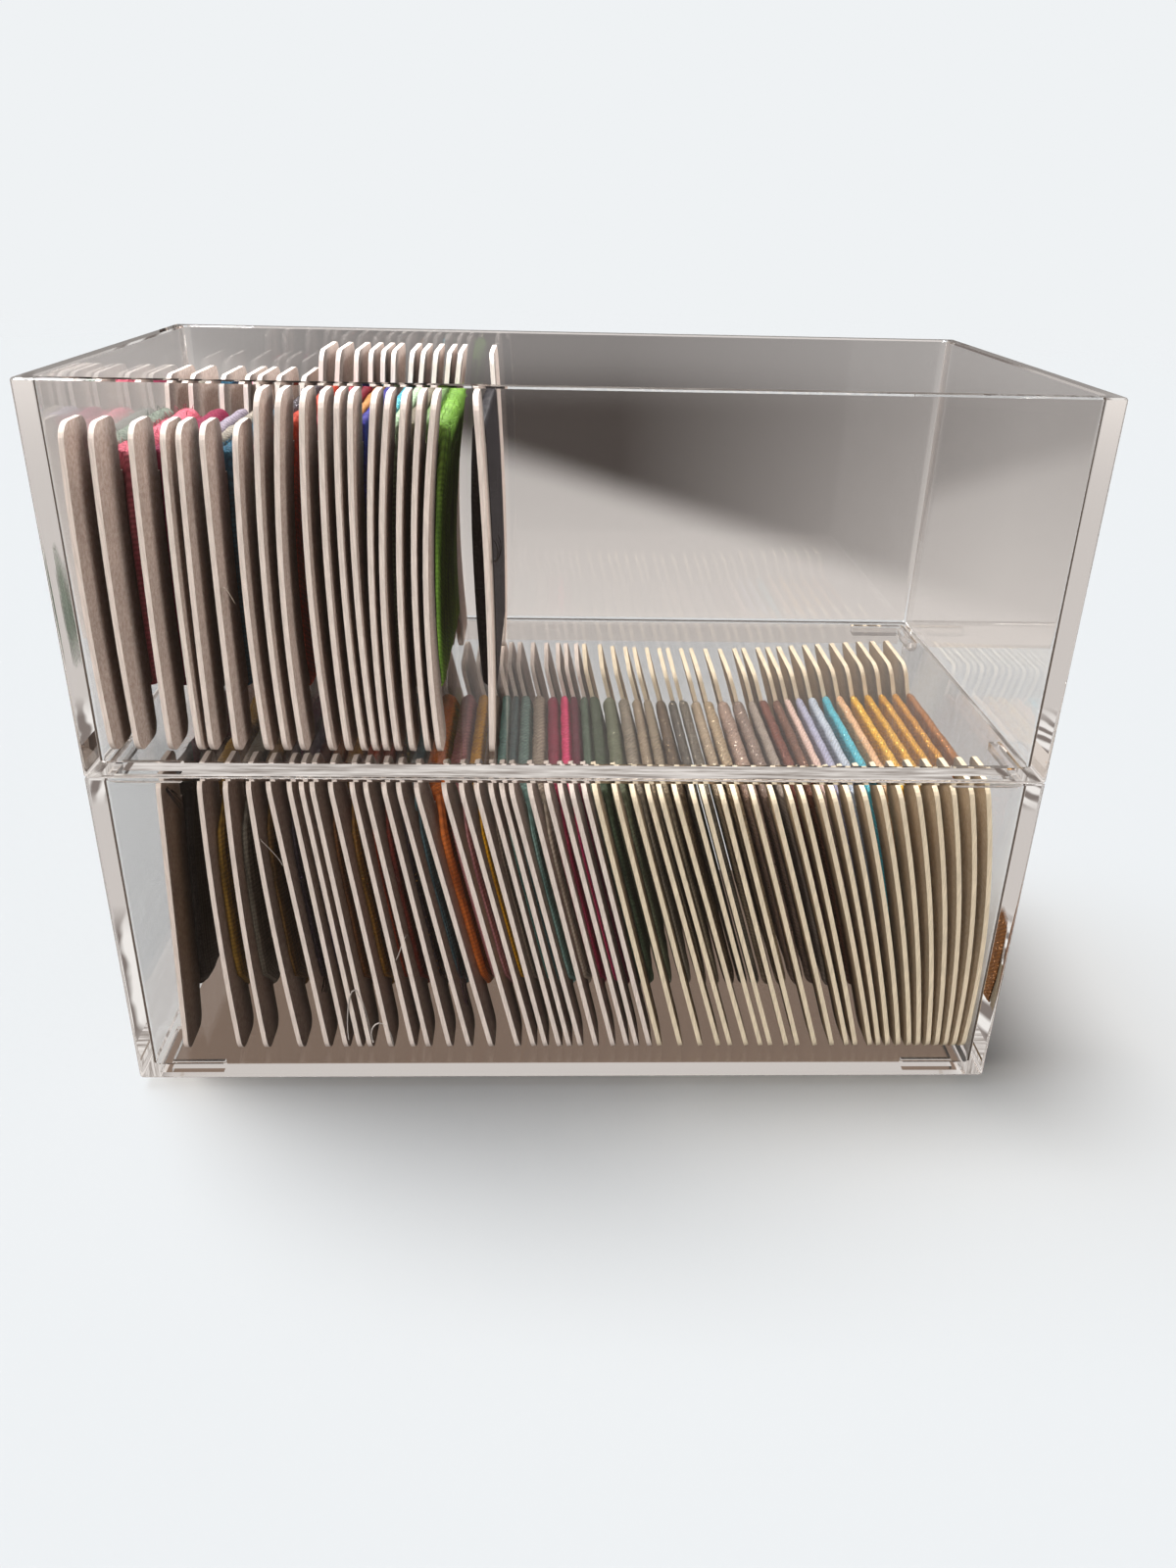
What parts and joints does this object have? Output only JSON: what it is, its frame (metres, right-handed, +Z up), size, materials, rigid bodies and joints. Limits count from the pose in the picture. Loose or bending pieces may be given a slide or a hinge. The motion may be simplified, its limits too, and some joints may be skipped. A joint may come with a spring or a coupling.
{
  "type": "embroidery thread box",
  "caption": "Two clear stacking trays full of H-shaped card bobbins wound with embroidery thread; the upper tray lifts off and its cards draw out upwards.",
  "frame": {"origin": "on the table under the middle of the stack, at the feet's underside", "axes": "+X along the long side towards the emptier end of the upper tray, +Y from front to back, +Z up"},
  "size_m": [0.228, 0.118, 0.181],
  "materials": {
    "clear_moulding": "crystal-clear moulded plastic, polished",
    "card_board": "uncoated paperboard, cut by a die, matte",
    "thread_upper_01": "twisted embroidery thread, wound by hand, soft sheen",
    "thread_upper_02": "twisted embroidery thread, wound by hand, soft sheen",
    "thread_upper_03": "twisted embroidery thread, wound by hand, soft sheen",
    "thread_upper_04": "twisted embroidery thread, wound by hand, soft sheen",
    "thread_upper_05": "twisted embroidery thread, wound by hand, soft sheen",
    "thread_upper_06": "twisted embroidery thread, wound by hand, soft sheen",
    "thread_upper_07": "twisted embroidery thread, wound by hand, soft sheen",
    "thread_upper_08": "twisted embroidery thread, wound by hand, soft sheen",
    "thread_upper_09": "twisted embroidery thread, wound by hand, soft sheen",
    "thread_upper_10": "twisted embroidery thread, wound by hand, soft sheen",
    "thread_upper_11": "twisted embroidery thread, wound by hand, soft sheen",
    "thread_upper_12": "twisted embroidery thread, wound by hand, soft sheen",
    "thread_upper_13": "twisted embroidery thread, wound by hand, soft sheen",
    "thread_upper_14": "twisted embroidery thread, wound by hand, soft sheen",
    "thread_upper_15": "twisted embroidery thread, wound by hand, soft sheen",
    "thread_upper_16": "twisted embroidery thread, wound by hand, soft sheen",
    "thread_upper_17": "twisted embroidery thread, wound by hand, soft sheen",
    "thread_upper_18": "twisted embroidery thread, wound by hand, soft sheen",
    "thread_upper_19": "twisted embroidery thread, wound by hand, soft sheen",
    "thread_lower_01": "twisted embroidery thread, wound by hand, soft sheen",
    "thread_lower_02": "twisted embroidery thread, wound by hand, soft sheen",
    "thread_lower_03": "twisted embroidery thread, wound by hand, soft sheen",
    "thread_lower_04": "twisted embroidery thread, wound by hand, soft sheen",
    "thread_lower_05": "twisted embroidery thread, wound by hand, soft sheen",
    "thread_lower_06": "twisted embroidery thread, wound by hand, soft sheen",
    "thread_lower_07": "twisted embroidery thread, wound by hand, soft sheen",
    "thread_lower_08": "twisted embroidery thread, wound by hand, soft sheen",
    "thread_lower_09": "twisted embroidery thread, wound by hand, soft sheen",
    "thread_lower_10": "twisted embroidery thread, wound by hand, soft sheen"
  },
  "bodies": {
    "lower_tray": {"lower_tray": "clear_moulding"},
    "upper_tray": {"upper_tray": "clear_moulding"},
    "upper_card_01": {"upper_card_01": "card_board", "upper_thread_01": "thread_upper_01"},
    "upper_card_02": {"upper_card_02": "card_board", "upper_thread_02": "thread_upper_02"},
    "upper_card_03": {"upper_card_03": "card_board", "upper_thread_03": "thread_upper_03"},
    "upper_card_04": {"upper_card_04": "card_board", "upper_thread_04": "thread_upper_04"},
    "upper_card_05": {"upper_card_05": "card_board", "upper_thread_05": "thread_upper_05"},
    "upper_card_06": {"upper_card_06": "card_board", "upper_thread_06": "thread_upper_06"},
    "upper_card_07": {"upper_card_07": "card_board", "upper_thread_07": "thread_upper_07"},
    "upper_card_08": {"upper_card_08": "card_board", "upper_thread_08": "thread_upper_08"},
    "upper_card_09": {"upper_card_09": "card_board", "upper_thread_09": "thread_upper_09"},
    "upper_card_10": {"upper_card_10": "card_board", "upper_thread_10": "thread_upper_10"},
    "upper_card_11": {"upper_card_11": "card_board", "upper_thread_11": "thread_upper_11"},
    "upper_card_12": {"upper_card_12": "card_board", "upper_thread_12": "thread_upper_12"},
    "upper_card_13": {"upper_card_13": "card_board", "upper_thread_13": "thread_upper_13"},
    "upper_card_14": {"upper_card_14": "card_board", "upper_thread_14": "thread_upper_14"},
    "upper_card_15": {"upper_card_15": "card_board", "upper_thread_15": "thread_upper_15"},
    "upper_card_16": {"upper_card_16": "card_board", "upper_thread_16": "thread_upper_16"},
    "upper_card_17": {"upper_card_17": "card_board", "upper_thread_17": "thread_upper_17"},
    "upper_card_18": {"upper_card_18": "card_board", "upper_thread_18": "thread_upper_18"},
    "upper_card_19": {"upper_card_19": "card_board", "upper_thread_19": "thread_upper_19"},
    "lower_bundle_01": {"lower_cards_01": "card_board", "lower_threads_01": "thread_lower_01"},
    "lower_bundle_02": {"lower_cards_02": "card_board", "lower_threads_02": "thread_lower_02"},
    "lower_bundle_03": {"lower_cards_03": "card_board", "lower_threads_03": "thread_lower_03"},
    "lower_bundle_04": {"lower_cards_04": "card_board", "lower_threads_04": "thread_lower_04"},
    "lower_bundle_05": {"lower_cards_05": "card_board", "lower_threads_05": "thread_lower_05"},
    "lower_bundle_06": {"lower_cards_06": "card_board", "lower_threads_06": "thread_lower_06"},
    "lower_bundle_07": {"lower_cards_07": "card_board", "lower_threads_07": "thread_lower_07"},
    "lower_bundle_08": {"lower_cards_08": "card_board", "lower_threads_08": "thread_lower_08"},
    "lower_bundle_09": {"lower_cards_09": "card_board", "lower_threads_09": "thread_lower_09"},
    "lower_bundle_10": {"lower_cards_10": "card_board", "lower_threads_10": "thread_lower_10"}
  },
  "joints": [
    {"name": "upper_tray_lift", "type": "slide", "parent": "lower_tray", "child": "upper_tray", "axis": [0, 0, 1], "range_m": [0, 0.12]},
    {"name": "upper_card_01_draw", "type": "slide", "parent": "upper_tray", "child": "upper_card_01", "axis": [0.0087, 0, 1], "range_m": [0, 0.088]},
    {"name": "upper_card_02_draw", "type": "slide", "parent": "upper_tray", "child": "upper_card_02", "axis": [0.014, 0, 0.9999], "range_m": [0, 0.088]},
    {"name": "upper_card_03_draw", "type": "slide", "parent": "upper_tray", "child": "upper_card_03", "axis": [0.0209, 0, 0.9998], "range_m": [0, 0.088]},
    {"name": "upper_card_04_draw", "type": "slide", "parent": "upper_tray", "child": "upper_card_04", "axis": [0.014, 0, 0.9999], "range_m": [0, 0.088]},
    {"name": "upper_card_05_draw", "type": "slide", "parent": "upper_tray", "child": "upper_card_05", "axis": [0.0209, 0, 0.9998], "range_m": [0, 0.088]},
    {"name": "upper_card_06_draw", "type": "slide", "parent": "upper_tray", "child": "upper_card_06", "axis": [0.0122, 0, 0.9999], "range_m": [0, 0.088]},
    {"name": "upper_card_07_draw", "type": "slide", "parent": "upper_tray", "child": "upper_card_07", "axis": [0.0035, 0, 1], "range_m": [0, 0.088]},
    {"name": "upper_card_08_draw", "type": "slide", "parent": "upper_tray", "child": "upper_card_08", "axis": [0.0175, 0, 0.9998], "range_m": [0, 0.088]},
    {"name": "upper_card_09_draw", "type": "slide", "parent": "upper_tray", "child": "upper_card_09", "axis": [0.0227, 0, 0.9997], "range_m": [0, 0.088]},
    {"name": "upper_card_10_draw", "type": "slide", "parent": "upper_tray", "child": "upper_card_10", "axis": [-0.0017, 0, 1], "range_m": [0, 0.088]},
    {"name": "upper_card_11_draw", "type": "slide", "parent": "upper_tray", "child": "upper_card_11", "axis": [-0.0035, 0, 1], "range_m": [0, 0.088]},
    {"name": "upper_card_12_draw", "type": "slide", "parent": "upper_tray", "child": "upper_card_12", "axis": [-0.0087, 0, 1], "range_m": [0, 0.088]},
    {"name": "upper_card_13_draw", "type": "slide", "parent": "upper_tray", "child": "upper_card_13", "axis": [-0.0087, 0, 1], "range_m": [0, 0.088]},
    {"name": "upper_card_14_draw", "type": "slide", "parent": "upper_tray", "child": "upper_card_14", "axis": [0.0209, 0, 0.9998], "range_m": [0, 0.088]},
    {"name": "upper_card_15_draw", "type": "slide", "parent": "upper_tray", "child": "upper_card_15", "axis": [0.0227, 0, 0.9997], "range_m": [0, 0.088]},
    {"name": "upper_card_16_draw", "type": "slide", "parent": "upper_tray", "child": "upper_card_16", "axis": [0.0227, 0, 0.9997], "range_m": [0, 0.088]},
    {"name": "upper_card_17_draw", "type": "slide", "parent": "upper_tray", "child": "upper_card_17", "axis": [0.0209, 0, 0.9998], "range_m": [0, 0.088]},
    {"name": "upper_card_18_draw", "type": "slide", "parent": "upper_tray", "child": "upper_card_18", "axis": [0.0227, 0, 0.9997], "range_m": [0, 0.088]},
    {"name": "upper_card_19_draw", "type": "slide", "parent": "upper_tray", "child": "upper_card_19", "axis": [-0.0262, 0, 0.9997], "range_m": [0, 0.088]},
    {"name": "lower_bundle_01_lift", "type": "slide", "parent": "lower_tray", "child": "lower_bundle_01", "axis": [-0.0363, 0, 0.9993], "range_m": [0, 0.0024]},
    {"name": "lower_bundle_02_lift", "type": "slide", "parent": "lower_tray", "child": "lower_bundle_02", "axis": [-0.1222, 0, 0.9925], "range_m": [0, 0.0024]},
    {"name": "lower_bundle_03_lift", "type": "slide", "parent": "lower_tray", "child": "lower_bundle_03", "axis": [-0.1912, 0, 0.9816], "range_m": [0, 0.0024]},
    {"name": "lower_bundle_04_lift", "type": "slide", "parent": "lower_tray", "child": "lower_bundle_04", "axis": [-0.2215, 0, 0.9751], "range_m": [0, 0.0024]},
    {"name": "lower_bundle_05_lift", "type": "slide", "parent": "lower_tray", "child": "lower_bundle_05", "axis": [-0.2348, 0, 0.972], "range_m": [0, 0.0024]},
    {"name": "lower_bundle_06_lift", "type": "slide", "parent": "lower_tray", "child": "lower_bundle_06", "axis": [-0.2666, 0, 0.9638], "range_m": [0, 0.0024]},
    {"name": "lower_bundle_07_lift", "type": "slide", "parent": "lower_tray", "child": "lower_bundle_07", "axis": [-0.291, 0, 0.9567], "range_m": [0, 0.0024]},
    {"name": "lower_bundle_08_lift", "type": "slide", "parent": "lower_tray", "child": "lower_bundle_08", "axis": [-0.286, 0, 0.9582], "range_m": [0, 0.0024]},
    {"name": "lower_bundle_09_lift", "type": "slide", "parent": "lower_tray", "child": "lower_bundle_09", "axis": [-0.2355, 0, 0.9719], "range_m": [0, 0.0024]},
    {"name": "lower_bundle_10_lift", "type": "slide", "parent": "lower_tray", "child": "lower_bundle_10", "axis": [-0.1302, 0, 0.9915], "range_m": [0, 0.0024]}
  ]
}
